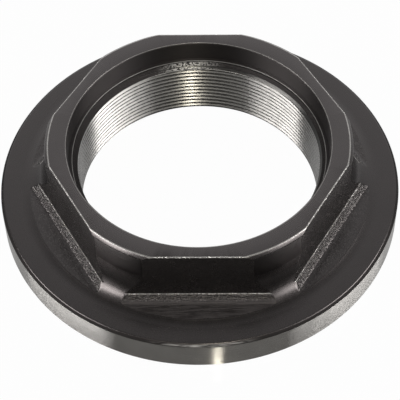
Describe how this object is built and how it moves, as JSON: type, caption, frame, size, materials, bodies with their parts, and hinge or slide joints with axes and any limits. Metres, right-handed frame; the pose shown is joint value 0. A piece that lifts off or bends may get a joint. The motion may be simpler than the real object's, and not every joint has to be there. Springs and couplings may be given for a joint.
{
  "type": "flanged hub nut",
  "caption": "Large hexagon hub nut on a round flange, with a fine thread right through, a plain counterbore in the top face and a turned flange rim.",
  "frame": {"origin": "centre of the flat bearing face under the flange", "axes": "+Z along the thread's axis, from the bearing face to the hexagon's top; one flat of the hexagon faces -Y"},
  "size_m": [0.155, 0.155, 0.0364],
  "materials": {
    "blackened_steel": "forged and turned steel with a black phosphate-like coat, bare turned steel on the flange rim and in the thread"
  },
  "bodies": {
    "root": {"hub_nut": "blackened_steel"}
  },
  "joints": []
}
